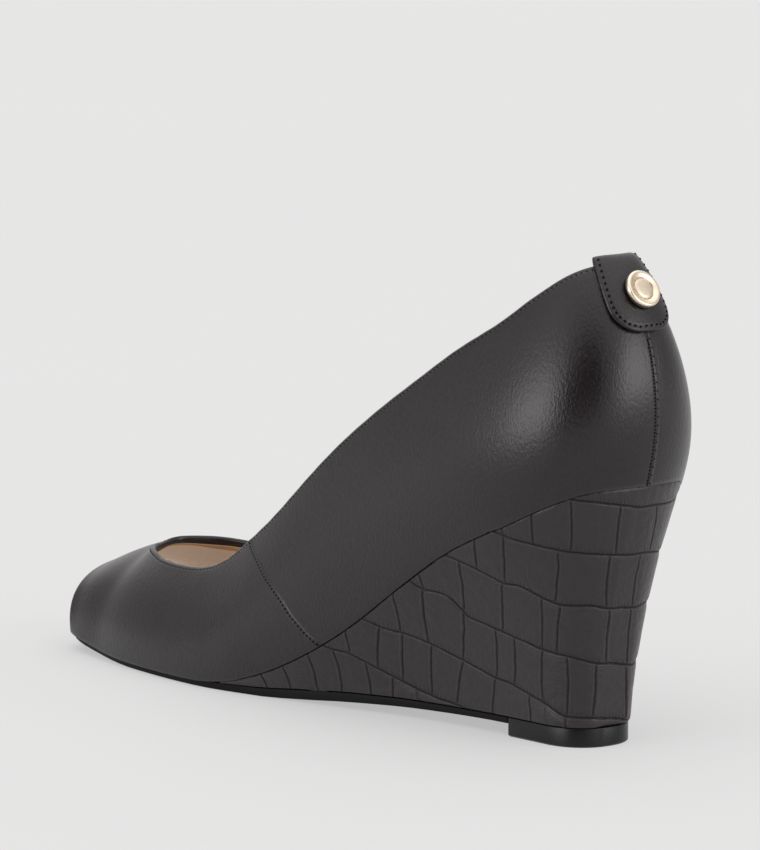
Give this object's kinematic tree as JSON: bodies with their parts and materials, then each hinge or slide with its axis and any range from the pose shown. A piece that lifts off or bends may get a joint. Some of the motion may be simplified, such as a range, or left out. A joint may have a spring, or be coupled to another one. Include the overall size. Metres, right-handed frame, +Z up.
{
  "type": "wedge pump",
  "caption": "Left peep-toe wedge pump with a leather-covered wedge heel, a back tab and a round button",
  "frame": {"origin": "Middle of the top piece's underside, where the heel stands on the floor", "axes": "+X towards the toe, +Y towards the outer side of the left foot, +Z up"},
  "size_m": [0.2256, 0.0689, 0.1287],
  "materials": {
    "smooth_leather": "smooth, fine grain",
    "croc_leather": "scale embossed",
    "insole_leather": "matt lining",
    "sole_rubber": "matt",
    "top_piece_rubber": "smooth",
    "pale_gold": "pale, satin"
  },
  "bodies": {
    "root": {"upper": "smooth_leather", "heel_tab": "smooth_leather", "wedge": "croc_leather", "insole": "insole_leather", "outsole": "sole_rubber", "top_piece": "top_piece_rubber", "stud": "pale_gold"}
  },
  "joints": []
}
